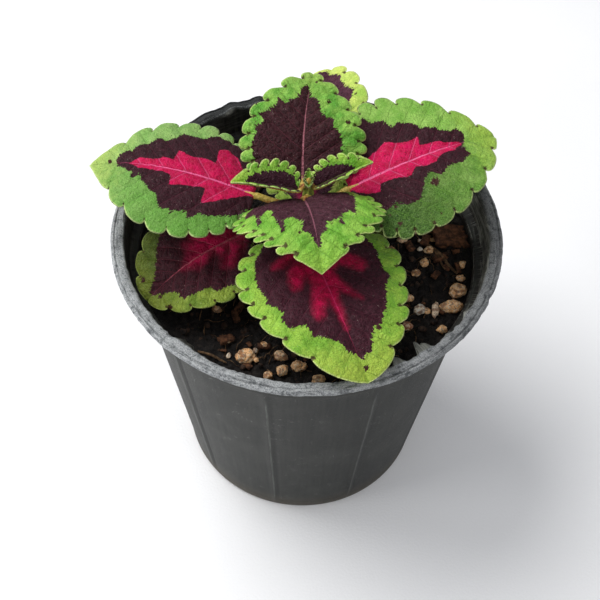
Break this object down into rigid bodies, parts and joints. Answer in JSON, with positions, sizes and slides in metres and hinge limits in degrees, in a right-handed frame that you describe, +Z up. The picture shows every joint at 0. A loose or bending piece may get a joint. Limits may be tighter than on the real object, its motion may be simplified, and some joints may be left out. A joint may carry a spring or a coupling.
{
  "type": "coleus in a nursery pot",
  "caption": "Bushy coleus with scalloped two-coloured leaves in opposite pairs on a square stem, growing in soil in a tapered black plastic nursery pot.",
  "frame": {"origin": "middle of the pot's base, on the surface that it stands on", "axes": "+Z up along the pot's axis and the stem, -Y towards the leaf that hangs over the rim, the front in the picture"},
  "size_m": [0.1478, 0.14, 0.1604],
  "materials": {
    "pot": "matte, faded grey at the rim",
    "soil": "moist dark potting soil with bark, twigs and tan pumice stones",
    "stem": "satin, green",
    "leaf": "velvety, purple and pink inside a green edge",
    "young_leaf": "velvety, purple inside a light green edge"
  },
  "bodies": {
    "root": {"pot": "pot", "soil": "soil", "stem": "stem", "leaf_left_lower": "leaf", "leaf_right_lower": "leaf", "leaf_front_lower": "leaf", "leaf_back_lower": "leaf", "leaf_left_upper": "leaf", "leaf_right_upper": "leaf", "leaf_back_upper": "leaf", "leaf_front_upper": "leaf", "leaf_left_inner": "young_leaf", "leaf_right_inner": "young_leaf", "growing_tip": "young_leaf"}
  },
  "joints": []
}
